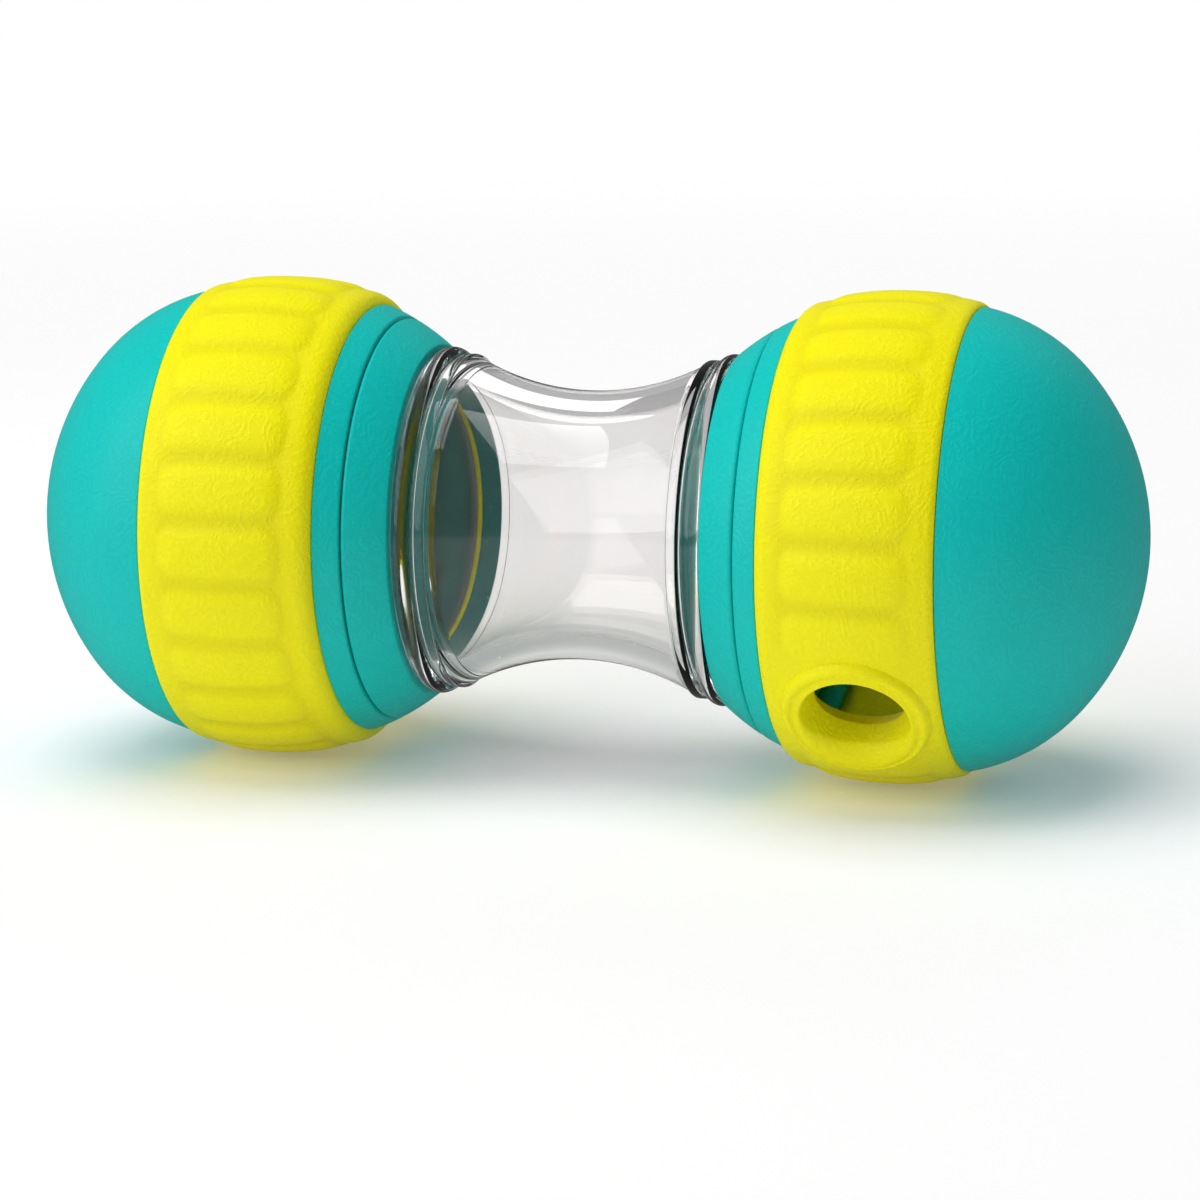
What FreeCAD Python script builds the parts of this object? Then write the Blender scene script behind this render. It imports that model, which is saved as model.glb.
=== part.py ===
import FreeCAD, Part

# Pet puzzle feeder: a clear waisted tube between two hollow balls that screw onto its ends.
#
# Frame: millimetres, +X along the toy's long axis, +Z up, origin on the floor under the middle.
# The toy stands on the two yellow treads, each with the crest of a rib at the bottom.
# One end is described once, for the +X side. The other end is the same pieces turned half a
# turn about Z, so its outlet lies low on the far side.
import math
import os
import re

import Sketcher

os.makedirs("parts", exist_ok=True)
doc = FreeCAD.newDocument("PetPuzzleFeeder")

# Driving dimensions, one row each: name, value, meaning.
DIMENSIONS = [
    ("tube_waist_r", 22.2, "outside radius of the clear tube at its middle"),
    ("tube_wall", 4.3, "wall of the clear tube at its middle"),
    ("small_rim_x", 20.0, "distance from the middle to the small rim"),
    ("small_rim_width", 1.9, "width of the small rim"),
    ("small_rim_step", 0.7, "height of the small rim over the flared end of the waist"),
    ("small_rim_drop", 0.9, "how far the small rim lies under the large bead"),
    ("rim_groove_width", 0.7, "width of the groove between the two rims"),
    ("rim_groove_depth", 0.9, "depth of that groove below the small rim"),
    ("bead_height", 4.0, "height over the spigot of the large rounded bead beside the ball"),
    ("bead_width", 2.9, "width of the large bead"),
    ("spigot_r", 24.8, "outside radius of the spigot that enters the ball"),
    ("spigot_wall", 2.2, "wall of the spigot"),
    ("spigot_length", 11.6, "length of the spigot past the bead"),
    ("lug_height", 1.5, "height of the screw lugs on the spigot"),
    ("lug_arc", 70.0, "arc of one screw lug in degrees"),
    ("lug_starts", 3.0, "number of screw lugs round the spigot"),
    ("lug_lead", 15.0, "advance of the ball in one full turn"),
    ("lug_play", 0.4, "clearance between lug flanks"),
    ("lug_margin", 0.43, "distance from a spigot lug to the end of the spigot"),
    ("lug_root", 0.4, "how deep a lug is rooted in the wall that carries it"),
    ("running_gap", 0.4, "clearance round the spigot and its lugs"),
    ("face_gap", 0.25, "clearance between the bead and what faces it"),
    ("fit_gap", 0.1, "clearance between pieces that are fixed to each other"),
    ("seam_gap", 0.2, "visible seam between the collar and the inner shell"),
    ("collar_length", 6.4, "visible length of the neck collar"),
    ("collar_face_wall", 2.4, "wall of the collar where it faces the bead"),
    ("collar_sleeve_wall", 2.2, "wall of the collar's sleeve inside the ball"),
    ("collar_sleeve_length", 5.2, "length of that sleeve past the seam"),
    ("seal_width", 1.4, "width of the neck seal"),
    ("seal_gap", 0.3, "clearance round the neck seal"),
    ("shell_length", 4.0, "visible length of the inner shell, from the seam to the tread"),
    ("shell_web", 2.4, "thickness of the inner shell's annular wall"),
    ("shell_neck_wall", 0.9, "step between the neck bore and the inside of the tongue"),
    ("shell_tongue_wall", 2.0, "wall of the tongue that enters the core ring"),
    ("shell_tongue_length", 4.6, "length of that tongue past the shell's rim"),
    ("core_wall", 2.3, "wall of the rigid core ring"),
    ("core_tongue_length", 4.5, "length of the core ring inside the dome"),
    ("ring_width", 28.6, "width of the tread"),
    ("tread_thickness", 5.6, "thickness of the tread from its bore to the rib crests"),
    ("crown_r", 47.5, "radius of the tread's crown across its width"),
    ("crown_shift", 1.85, "distance from the middle of the tread to its widest place"),
    ("inner_edge_drop", 4.5, "how far the edge beside the inner shell lies under the crests"),
    ("outer_edge_drop", 2.45, "how far the edge beside the dome lies under the crests"),
    ("inner_edge_width", 2.4, "width of the rounding beside the inner shell"),
    ("outer_edge_width", 1.29, "width of the rounding beside the dome"),
    ("inner_edge_round", 3.2, "radius of the rounding beside the inner shell"),
    ("outer_edge_round", 1.9, "radius of the rounding beside the dome"),
    ("inner_lip_width", 3.6, "width of the smooth lip beside the inner shell"),
    ("outer_lip_width", 2.2, "width of the smooth lip beside the dome"),
    ("lip_drop", 0.25, "how far the lips lie under the rib crests"),
    ("trough_depth", 0.55, "how far the trough between the lips lies under the rib crests"),
    ("trough_slope", 1.2, "width of the slope from lip to trough"),
    ("rib_count", 24.0, "number of ribs round the tread"),
    ("rib_r", 13.5, "radius of a rib's rounded section"),
    ("rib_end_round", 3.2, "rounding at the ends of a rib"),
    ("rib_end_width", 1.9, "length of a rib's rounded end"),
    ("rib_end_gap", 0.6, "distance from a lip to the end of a rib"),
    ("saddle_drop", 0.3, "how far the smooth saddle round the outlet lies under the rib crests"),
    ("saddle_overlap", 0.3, "how far the saddle runs on inside each lip"),
    ("saddle_ribs", 3.0, "width of that saddle, in ribs"),
    ("outlet_ribs", 3.5, "angle from the bottom of the tread to the outlet, in ribs"),
    ("outlet_shift", 0.8, "distance from the middle of the tread to the outlet's axis"),
    ("throat_r", 7.2, "radius of the outlet at the core ring"),
    ("mouth_r", 8.7, "radius of the outlet below its rounded rim"),
    ("mouth_round", 1.4, "rounding of the outlet's rim"),
    ("boss_r", 11.7, "radius of the raised boss round the outlet"),
    ("boss_drop", 0.6, "how far the flat top of the boss lies under the largest crest"),
    ("boss_round", 1.5, "rounding of the boss's outer edge"),
    ("dome_setback", 6.2, "distance from the tread's end back to the dome's widest place"),
    ("dome_step", 1.9, "how far the dome's widest place lies under the rib crests"),
    ("dome_shoulder_r", 31.0, "radius of the dome's shoulder curve"),
    ("dome_nose_reach", 2.75, "how far the pole lies beyond the shoulder's own radius"),
    ("dome_wall", 2.6, "wall of the dome"),
]

sheet = doc.addObject("Spreadsheet::Sheet", "Dims")
for row, (alias, value, meaning) in enumerate(DIMENSIONS, start=1):
    sheet.set(f"A{row}", alias)
    sheet.set(f"B{row}", str(value))
    sheet.set(f"C{row}", meaning)
    sheet.setAlias(f"B{row}", alias)
doc.recompute()
ALIASES = {alias for alias, value, meaning in DIMENSIONS}
WORD = re.compile(r"[A-Za-z_]\w*")


def bound(text):
    """The expression with each dimension's name led by its sheet, as other objects need it."""
    return WORD.sub(lambda found: f"Dims.{found[0]}" if found[0] in ALIASES else found[0], text)


def value_of(text):
    """The expression's value in millimetres or degrees."""
    return float(sheet.evalExpression(text))


# Places along the toy's axis and radii that more than one piece uses, as expressions.
BEAD_START = "(small_rim_x + small_rim_width + rim_groove_width)"
BEAD_FACE = f"({BEAD_START} + bead_width)"
SPIGOT_END = f"({BEAD_FACE} + spigot_length)"
BORE_R = "(spigot_r - spigot_wall)"
BEAD_R = "(spigot_r + bead_height)"
SMALL_RIM_R = f"({BEAD_R} - small_rim_drop)"
FLARE_R = f"({SMALL_RIM_R} - small_rim_step)"
COLLAR_FACE = f"({BEAD_FACE} + face_gap)"
COLLAR_END = f"({COLLAR_FACE} + collar_length)"
COLLAR_BORE_R = "(spigot_r + lug_height + running_gap)"
SLEEVE_R = f"({COLLAR_BORE_R} + collar_sleeve_wall)"
SLEEVE_END = f"({COLLAR_END} + collar_sleeve_length)"
LUG_PITCH = "(lug_lead / lug_starts)"
LUG_WIDTH = f"({LUG_PITCH} / 2 - lug_play)"
LUG_CLIMB = "(lug_lead * lug_arc / 360)"
LUG_START = f"({SPIGOT_END} - lug_margin - {LUG_WIDTH} / 2 - {LUG_CLIMB})"
SEAM_FACE = f"({COLLAR_END} + seam_gap)"
NECK_BORE_R = f"({SLEEVE_R} + fit_gap)"
TONGUE_R = f"({NECK_BORE_R} + shell_neck_wall + shell_tongue_wall)"
RING_START = f"({SEAM_FACE} + shell_length)"
RING_CENTRE = f"({RING_START} + ring_width / 2)"
RING_END = f"({RING_START} + ring_width)"
BALL_R = (f"sqrt(({COLLAR_BORE_R} + collar_face_wall) ^ 2"
          f" + ({RING_CENTRE} - {COLLAR_FACE}) ^ 2)")
CORE_BORE_R = f"({TONGUE_R} + fit_gap)"
CORE_R = f"({CORE_BORE_R} + core_wall)"
CORE_END = f"({RING_END} + core_tongue_length)"
TREAD_BORE_R = f"({CORE_R} + fit_gap)"
CREST_R = f"({TREAD_BORE_R} + tread_thickness)"
CROWN_X = f"({RING_CENTRE} + crown_shift)"
RIB_ANGLE = "(360deg / rib_count)"
BOSS_TOP = f"({CREST_R} - boss_drop)"
OUTLET_X = f"({RING_CENTRE} + outlet_shift)"
# The dome is two tangent arcs: a shoulder centred off the axis and a nose centred on it.
SHOULDER_X = f"({RING_END} - dome_setback)"
SHOULDER_C = f"({CREST_R} - dome_step - dome_shoulder_r)"
DOME_DEPTH = "(dome_shoulder_r + dome_nose_reach)"
NOSE_R = (f"(({DOME_DEPTH} ^ 2 + {SHOULDER_C} ^ 2 - dome_shoulder_r ^ 2)"
          " / (2 * dome_nose_reach))")
POLE_X = f"({SHOULDER_X} + {DOME_DEPTH})"
NOSE_C = f"({POLE_X} - {NOSE_R})"


def ball_surface(x):
    """Radius of the ball's surface on the collar side at a place along the axis."""
    return f"sqrt({BALL_R} ^ 2 - ({x} - {RING_CENTRE}) ^ 2)"


def crown(x, drop="0"):
    """Radius of the tread's crown at a place along the axis."""
    return f"({CREST_R} - crown_r + sqrt((crown_r - {drop}) ^ 2 - ({x} - {CROWN_X}) ^ 2))"


def origin_item(body, role):
    """The body's own origin plane or axis with that role."""
    return next(item for item in body.Origin.OriginFeatures if item.Role == role)


def new_body(name):
    body = doc.addObject("PartDesign::Body", name)
    body.Label = name
    return body


def outline(body, name, corners, arcs=None, axis=None, tilt=None):
    """A closed sketch. corners: (along, out) expressions. arcs: edge number to (radius, side).

    Edge n runs from corner n to corner n + 1. Side +1 bulges to the left of that direction.
    axis adds a construction line through one place, ("H" or "V", expression).
    tilt turns the sketch's plane about the toy's axis.
    """
    arcs = arcs or {}
    sketch = body.newObject("Sketcher::SketchObject", name)
    sketch.AttachmentSupport = [(origin_item(body, "XZ_Plane"), "")]
    sketch.MapMode = "FlatFace"
    if tilt:
        turn = FreeCAD.Rotation(FreeCAD.Vector(1, 0, 0), 1)
        sketch.AttachmentOffset = FreeCAD.Placement(FreeCAD.Vector(0, 0, 0), turn)
        sketch.setExpression("AttachmentOffset.Rotation.Angle", bound(tilt))
    spots = [FreeCAD.Vector(value_of(along), value_of(out), 0) for along, out in corners]
    ends = []
    for edge, start in enumerate(spots):
        stop = spots[(edge + 1) % len(spots)]
        if edge not in arcs:
            index = sketch.addGeometry(Part.LineSegment(start, stop), False)
            ends.append((index, 1, 2))
            continue
        radius, side = value_of(arcs[edge][0]), arcs[edge][1]
        chord = stop - start
        left = FreeCAD.Vector(-chord.y, chord.x, 0).normalize()
        sagitta_arm = math.sqrt(radius ** 2 - (chord.Length / 2) ** 2)
        centre = (start + stop) / 2 - left * side * sagitta_arm
        first, last = (start, stop) if side < 0 else (stop, start)
        angles = [math.atan2(spot.y - centre.y, spot.x - centre.x) for spot in (first, last)]
        circle = Part.Circle(centre, FreeCAD.Vector(0, 0, 1), radius)
        index = sketch.addGeometry(Part.ArcOfCircle(circle, angles[0], angles[1]), False)
        ends.append((index, 1, 2) if side < 0 else (index, 2, 1))
    for edge, (index, head, tail) in enumerate(ends):
        following, next_head, _ = ends[(edge + 1) % len(ends)]
        sketch.addConstraint(Sketcher.Constraint("Coincident", index, tail, following, next_head))
    for edge, (index, head, tail) in enumerate(ends):
        for kind, text, size in (("DistanceX", corners[edge][0], spots[edge].x),
                                 ("DistanceY", corners[edge][1], spots[edge].y)):
            number = sketch.addConstraint(Sketcher.Constraint(kind, -1, 1, index, head, size))
            sketch.setExpression(f"Constraints[{number}]", bound(text))
        if edge in arcs:
            radius = Sketcher.Constraint("Radius", index, value_of(arcs[edge][0]))
            number = sketch.addConstraint(radius)
            sketch.setExpression(f"Constraints[{number}]", bound(arcs[edge][0]))
    if axis:
        add_axis_line(sketch, *axis)
    return sketch


def add_axis_line(sketch, direction, place):
    """A construction line along the sketch's H or V direction, at a place across it."""
    size = value_of(place)
    long = FreeCAD.Vector(1, 0, 0) if direction == "H" else FreeCAD.Vector(0, 1, 0)
    across = FreeCAD.Vector(0, 1, 0) if direction == "H" else FreeCAD.Vector(1, 0, 0)
    line = sketch.addGeometry(Part.LineSegment(across * size, across * size + long * 10), True)
    kinds = ("Horizontal", "DistanceY") if direction == "H" else ("Vertical", "DistanceX")
    sketch.addConstraint(Sketcher.Constraint(kinds[0], line))
    number = sketch.addConstraint(Sketcher.Constraint(kinds[1], -1, 1, line, 1, size))
    sketch.setExpression(f"Constraints[{number}]", bound(place))


def turned(body, kind, name, sketch, axis="H_Axis"):
    """A Revolution or Groove of the sketch about one of its axes."""
    feature = body.newObject(f"PartDesign::{kind}", name)
    feature.Profile = sketch
    feature.ReferenceAxis = (sketch, [axis])
    feature.Angle = 360.0
    return feature


def repeated(body, name, originals, count):
    """The features repeated round the toy's axis."""
    pattern = body.newObject("PartDesign::PolarPattern", name)
    pattern.Originals = originals
    pattern.Axis = (origin_item(body, "X_Axis"), [""])
    pattern.Angle = 360.0
    pattern.setExpression("Occurrences", bound(count))
    body.Tip = pattern
    return pattern


def screw_lugs(body, name, start, low, high, side=1):
    """Short helical lugs round the toy's axis, from radius low to radius high."""
    half = f"{LUG_WIDTH} / 2"
    corners = [(f"{side} * ({start} - {half})", low), (f"{side} * ({start} + {half})", low),
               (f"{side} * ({start} + {half})", high), (f"{side} * ({start} - {half})", high)]
    sketch = outline(body, f"{name}_section", corners)
    lug = body.newObject("PartDesign::AdditiveHelix", name)
    lug.Profile = sketch
    lug.ReferenceAxis = (sketch, ["H_Axis"])
    lug.Mode = "pitch-height-angle"
    lug.setExpression("Pitch", bound("lug_lead"))
    lug.setExpression("Height", bound(LUG_CLIMB))
    lug.Reversed = side < 0
    doc.recompute()
    return repeated(body, f"{name}_round", [lug], "lug_starts")


def viewing_tube():
    """The clear tube: waisted body, two rims at each end and a spigot with screw lugs."""
    body = new_body("viewing_tube")
    half_outside = [
        ("small_rim_x", FLARE_R),
        ("small_rim_x", SMALL_RIM_R),
        ("(small_rim_x + small_rim_width)", SMALL_RIM_R),
        ("(small_rim_x + small_rim_width)", f"({SMALL_RIM_R} - rim_groove_depth)"),
        (BEAD_START, f"({SMALL_RIM_R} - rim_groove_depth)"),
        (BEAD_START, f"({BEAD_R} - bead_width / 2)"),
        (BEAD_FACE, f"({BEAD_R} - bead_width / 2)"),
        (BEAD_FACE, "spigot_r"),
        (SPIGOT_END, "spigot_r"),
        (SPIGOT_END, BORE_R),
        ("small_rim_x", BORE_R),
    ]
    mirrored = [(f"-{along}", out) for along, out in reversed(half_outside)]
    # Travel: bore on the -X side, out round the -X spigot, over the waist, then the +X side.
    corners = mirrored + half_outside
    rise = f"({FLARE_R} - tube_waist_r)"
    fall = f"({BORE_R} - tube_waist_r + tube_wall)"
    waist_edge = len(mirrored) - 1
    bore_edge = len(corners) - 1
    bead_edge = half_outside.index((BEAD_START, f"({BEAD_R} - bead_width / 2)")) + 1
    arcs = {
        waist_edge: (f"((small_rim_x ^ 2 + {rise} ^ 2) / (2 * {rise}))", -1),
        bore_edge: (f"((small_rim_x ^ 2 + {fall} ^ 2) / (2 * {fall}))", 1),
        waist_edge - bead_edge: ("(bead_width / 2)", 1),
        waist_edge + bead_edge: ("(bead_width / 2)", 1),
    }
    section = outline(body, "tube_section", corners, arcs)
    turned(body, "Revolution", "tube_turned", section)
    doc.recompute()
    for side, word in ((1, "right"), (-1, "left")):
        screw_lugs(body, f"{word}_lug", LUG_START, "(spigot_r - lug_root)",
                   "(spigot_r + lug_height)", side)
    place(body, "right")


def neck_seal(side):
    """A square silicone ring on the spigot, against the bead."""
    name = f"{side}_neck_seal"
    body = new_body(name)
    start = f"({BEAD_FACE} + seal_gap)"
    low, high = "(spigot_r + seal_gap)", f"({COLLAR_BORE_R} - seal_gap)"
    section = outline(body, f"{name}_section", [
        (start, low), (f"({start} + seal_width)", low),
        (f"({start} + seal_width)", high), (start, high)])
    turned(body, "Revolution", f"{name}_turned", section)
    place(body, side)


def neck_collar(side):
    """The teal collar: spherical outside, a sleeve inside the ball and lugs in its bore."""
    name = f"{side}_neck_collar"
    body = new_body(name)
    section = outline(body, f"{name}_section", [
        (COLLAR_FACE, COLLAR_BORE_R),
        (COLLAR_FACE, ball_surface(COLLAR_FACE)),
        (COLLAR_END, ball_surface(COLLAR_END)),
        (COLLAR_END, SLEEVE_R),
        (SLEEVE_END, SLEEVE_R),
        (SLEEVE_END, COLLAR_BORE_R),
    ], {1: (BALL_R, 1)})
    turned(body, "Revolution", f"{name}_turned", section)
    doc.recompute()
    screw_lugs(body, f"{name}_lug", f"({LUG_START} - {LUG_PITCH} / 2)",
               "(spigot_r + running_gap)", f"({COLLAR_BORE_R} + lug_root)")
    place(body, side)


def inner_shell(side):
    """The teal ring of the ball between the collar's seam and the tread."""
    name = f"{side}_inner_shell"
    body = new_body(name)
    rim = f"({RING_START} - fit_gap)"
    web = f"({SEAM_FACE} + shell_web)"
    section = outline(body, f"{name}_section", [
        (SEAM_FACE, NECK_BORE_R),
        (SEAM_FACE, ball_surface(SEAM_FACE)),
        (rim, ball_surface(rim)),
        (rim, TONGUE_R),
        (f"({rim} + shell_tongue_length)", TONGUE_R),
        (f"({rim} + shell_tongue_length)", f"({TONGUE_R} - shell_tongue_wall)"),
        (web, f"({TONGUE_R} - shell_tongue_wall)"),
        (web, NECK_BORE_R),
    ], {1: (BALL_R, 1)})
    turned(body, "Revolution", f"{name}_turned", section)
    place(body, side)


def core_ring(side):
    """The rigid yellow ring under the tread, with the outlet through it."""
    name = f"{side}_core_ring"
    body = new_body(name)
    section = outline(body, f"{name}_section", [
        (RING_START, CORE_BORE_R), (RING_START, CORE_R),
        (CORE_END, CORE_R), (CORE_END, CORE_BORE_R)])
    turned(body, "Revolution", f"{name}_turned", section)
    doc.recompute()
    hole = outline(body, f"{name}_outlet_section", [
        (OUTLET_X, "0"), (f"({OUTLET_X} + throat_r)", "0"),
        (f"({OUTLET_X} + throat_r)", f"-{CREST_R}"), (OUTLET_X, f"-{CREST_R}")],
        axis=("V", OUTLET_X))
    turned(body, "Groove", f"{name}_outlet", hole, "Axis0")
    place(body, side, with_outlet=True)


def tread_ring(side):
    """The soft yellow tread: two smooth lips, rounded ribs, and a saddle with the outlet."""
    name = f"{side}_tread_ring"
    body = new_body(name)
    lip_in = f"({RING_START} + inner_lip_width)"
    lip_out = f"({RING_END} - outer_lip_width)"
    inner_round = f"({RING_START} + inner_edge_width)"
    outer_round = f"({RING_END} - outer_edge_width)"
    floor_in, floor_out = f"({lip_in} + trough_slope)", f"({lip_out} - trough_slope)"
    base = outline(body, f"{name}_base_section", [
        (RING_START, "0"),
        (RING_START, f"({CREST_R} - inner_edge_drop)"),
        (inner_round, crown(inner_round, "lip_drop")),
        (lip_in, crown(lip_in, "lip_drop")),
        (floor_in, crown(floor_in, "trough_depth")),
        (floor_out, crown(floor_out, "trough_depth")),
        (lip_out, crown(lip_out, "lip_drop")),
        (outer_round, crown(outer_round, "lip_drop")),
        (RING_END, f"({CREST_R} - outer_edge_drop)"),
        (RING_END, "0"),
    ], {1: ("inner_edge_round", 1), 2: ("(crown_r - lip_drop)", 1),
        4: ("(crown_r - trough_depth)", 1), 6: ("(crown_r - lip_drop)", 1),
        7: ("outer_edge_round", 1)})
    turned(body, "Revolution", f"{name}_base", base)
    doc.recompute()
    # One rib is a spindle turned about its own axis, half a rib from the outlet, then repeated.
    start, stop = f"({lip_in} + rib_end_gap)", f"({lip_out} - rib_end_gap)"
    after, before = f"({start} + rib_end_width)", f"({stop} - rib_end_width)"
    low = f"({CREST_R} - rib_r)"
    rib = outline(body, f"{name}_rib_section", [
        (start, f"-{low}"),
        (start, f"-({crown(start)} - trough_depth)"),
        (after, f"-{crown(after)}"),
        (before, f"-{crown(before)}"),
        (stop, f"-({crown(stop)} - trough_depth)"),
        (stop, f"-{low}"),
    ], {1: ("rib_end_round", -1), 2: ("crown_r", -1), 3: ("rib_end_round", -1)},
        axis=("H", f"-{low}"), tilt=f"({RIB_ANGLE} / 2)")
    lobe = turned(body, "Revolution", f"{name}_rib", rib, "Axis0")
    doc.recompute()
    repeated(body, f"{name}_ribs", [lobe], "rib_count")
    doc.recompute()
    # The saddle fills the valleys beside the outlet and ends on the crests of two ribs.
    edge_in, edge_out = f"({lip_in} - saddle_overlap)", f"({lip_out} + saddle_overlap)"
    saddle = outline(body, f"{name}_saddle_section", [
        (edge_in, "0"),
        (edge_in, f"-{crown(edge_in, 'saddle_drop')}"),
        (edge_out, f"-{crown(edge_out, 'saddle_drop')}"),
        (edge_out, "0"),
    ], {1: ("(crown_r - saddle_drop)", -1)})
    smooth = turned(body, "Revolution", f"{name}_saddle", saddle)
    smooth.Midplane = True
    smooth.setExpression("Angle", bound(f"saddle_ribs * {RIB_ANGLE}"))
    doc.recompute()
    boss = outline(body, f"{name}_boss_section", [
        (OUTLET_X, "0"),
        (f"({OUTLET_X} + boss_r)", "0"),
        (f"({OUTLET_X} + boss_r)", f"-({BOSS_TOP} - boss_round)"),
        (f"({OUTLET_X} + boss_r - boss_round)", f"-{BOSS_TOP}"),
        (OUTLET_X, f"-{BOSS_TOP}"),
    ], {2: ("boss_round", -1)}, axis=("V", OUTLET_X))
    turned(body, "Revolution", f"{name}_boss", boss, "Axis0")
    doc.recompute()
    bore = outline(body, f"{name}_bore_section", [
        (f"({RING_START} - 1)", "0"), (f"({RING_START} - 1)", TREAD_BORE_R),
        (f"({RING_END} + 1)", TREAD_BORE_R), (f"({RING_END} + 1)", "0")])
    turned(body, "Groove", f"{name}_bore", bore)
    doc.recompute()
    outlet = outline(body, f"{name}_outlet_section", [
        (OUTLET_X, "0"),
        (f"({OUTLET_X} + throat_r + fit_gap)", "0"),
        (f"({OUTLET_X} + throat_r + fit_gap)", f"-{CORE_R}"),
        (f"({OUTLET_X} + mouth_r)", f"-({BOSS_TOP} - mouth_round)"),
        (f"({OUTLET_X} + mouth_r + mouth_round)", f"-{BOSS_TOP}"),
        (f"({OUTLET_X} + mouth_r + mouth_round)", f"-({BOSS_TOP} + boss_round)"),
        (OUTLET_X, f"-({BOSS_TOP} + boss_round)"),
    ], {3: ("mouth_round", 1)}, axis=("V", OUTLET_X))
    turned(body, "Groove", f"{name}_outlet", outlet, "Axis0")
    place(body, side, with_outlet=True)


def end_dome(side):
    """The teal dome, seated on the core ring's free end."""
    name = f"{side}_end_dome"
    body = new_body(name)
    seat = f"({RING_END} + fit_gap)"
    shelf = f"({CORE_END} + fit_gap)"
    mouth = f"({CORE_R} + fit_gap)"

    def join(inset):
        """Where the shoulder arc meets the nose arc, both inset by the same wall."""
        share = f"(({NOSE_R} - {inset}) / ({NOSE_R} - dome_shoulder_r))"
        return (f"({NOSE_C} + {share} * ({SHOULDER_X} - {NOSE_C}))", f"({share} * {SHOULDER_C})")

    def shoulder(x, inset="0"):
        """Radius of the shoulder at a place along the axis, inset by a wall."""
        return f"({SHOULDER_C} + sqrt((dome_shoulder_r - {inset}) ^ 2 - ({x} - {SHOULDER_X}) ^ 2))"

    section = outline(body, f"{name}_section", [
        (seat, mouth),
        (seat, shoulder(seat)),
        join("0"),
        (POLE_X, "0"),
        (f"({POLE_X} - dome_wall)", "0"),
        join("dome_wall"),
        (shelf, shoulder(shelf, "dome_wall")),
        (shelf, mouth),
    ], {1: ("dome_shoulder_r", 1), 2: (NOSE_R, 1),
        4: (f"({NOSE_R} - dome_wall)", -1), 5: ("(dome_shoulder_r - dome_wall)", -1)})
    turned(body, "Revolution", f"{name}_turned", section)
    place(body, side)


def place(body, side, with_outlet=False):
    """Lifts a piece to the toy's axis and turns it to its end and, if asked, to its outlet."""
    turn = FreeCAD.Rotation(FreeCAD.Vector(0, 0, 1), 180 if side == "left" else 0)
    if with_outlet:
        angle = value_of("-outlet_ribs * 360 / rib_count")
        turn = turn.multiply(FreeCAD.Rotation(FreeCAD.Vector(1, 0, 0), angle))
    body.Placement = FreeCAD.Placement(FreeCAD.Vector(0, 0, 0), turn)
    body.setExpression("Placement.Base.z", bound(CREST_R))


viewing_tube()
for side in ("right", "left"):
    neck_seal(side)
    neck_collar(side)
    inner_shell(side)
    core_ring(side)
    tread_ring(side)
    end_dome(side)
doc.recompute()

for thing in doc.Objects:
    if "Invalid" in thing.State or "Error" in thing.State:
        raise RuntimeError(f"{thing.Label} failed: {thing.State}")
pieces = [thing for thing in doc.Objects if thing.TypeId == "PartDesign::Body"]
for piece in pieces:
    if piece.Shape.isNull() or not piece.Shape.isValid() or len(piece.Shape.Solids) != 1:
        raise RuntimeError(f"{piece.Label} is not one sound solid")
for piece in pieces:
    piece.Shape.exportStep(f"parts/{piece.Label}.step")
    box = piece.Shape.BoundBox
    print(f"{piece.Label}: volume {piece.Shape.Volume:.0f} mm3, x {box.XMin:.2f} to {box.XMax:.2f},"
          f" z {box.ZMin:.2f} to {box.ZMax:.2f}")
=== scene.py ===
# %% [markdown]
# A pet puzzle feeder: a clear waisted tube joins two hollow teal balls, and each ball wears a
# soft yellow tread with a round outlet. The packed model gives the frame: its bodies, joints
# and sizes. The visible pieces are built again here with smooth, dense surfaces and rounded
# edges, and each rides on the body that carries it.

# %% Load the frame
import math

import bmesh
import bpy
import numpy as np
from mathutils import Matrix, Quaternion, Vector


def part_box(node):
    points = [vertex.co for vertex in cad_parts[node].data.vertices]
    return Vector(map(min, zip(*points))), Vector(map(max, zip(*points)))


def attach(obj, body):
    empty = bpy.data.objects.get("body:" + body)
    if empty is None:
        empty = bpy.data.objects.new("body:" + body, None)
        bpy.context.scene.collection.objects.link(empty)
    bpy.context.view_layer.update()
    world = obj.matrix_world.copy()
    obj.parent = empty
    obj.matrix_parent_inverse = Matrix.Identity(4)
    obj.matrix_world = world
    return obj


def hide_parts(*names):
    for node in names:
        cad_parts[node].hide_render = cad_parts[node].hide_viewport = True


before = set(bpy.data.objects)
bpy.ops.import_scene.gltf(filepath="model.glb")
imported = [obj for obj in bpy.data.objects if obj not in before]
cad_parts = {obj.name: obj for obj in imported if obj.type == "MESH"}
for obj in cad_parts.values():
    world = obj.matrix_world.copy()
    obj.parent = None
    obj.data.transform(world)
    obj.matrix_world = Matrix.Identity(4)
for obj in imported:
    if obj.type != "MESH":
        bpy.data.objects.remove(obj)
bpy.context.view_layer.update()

# %% [markdown]
# The sizes repeat the toy's driving dimensions. Each ball is described once, for the end that
# points along +X: x runs along the toy's axis from its middle, and r is the distance from that
# axis. The height of the axis and the ends of the treads are read from the frame, so the new
# pieces can't drift away from the packed ones. Sizes of one piece stand beside that piece.

# %% Shared sizes
MM = 0.001


def mm(**sizes):
    """Named sizes given in millimetres, in metres."""
    return {name: size * MM for name, size in sizes.items()}


ring_low, ring_high = [Vector(corner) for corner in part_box("right_tread_ring")]
RING_START, RING_END = ring_low.x, ring_high.x
RING_CENTRE = (RING_START + RING_END) / 2
AXIS_Z = (ring_low.z + ring_high.z) / 2
RIB_COUNT = 24
RIB_PITCH = 2 * math.pi / RIB_COUNT
FIT_GAP = 0.1 * MM

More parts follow.
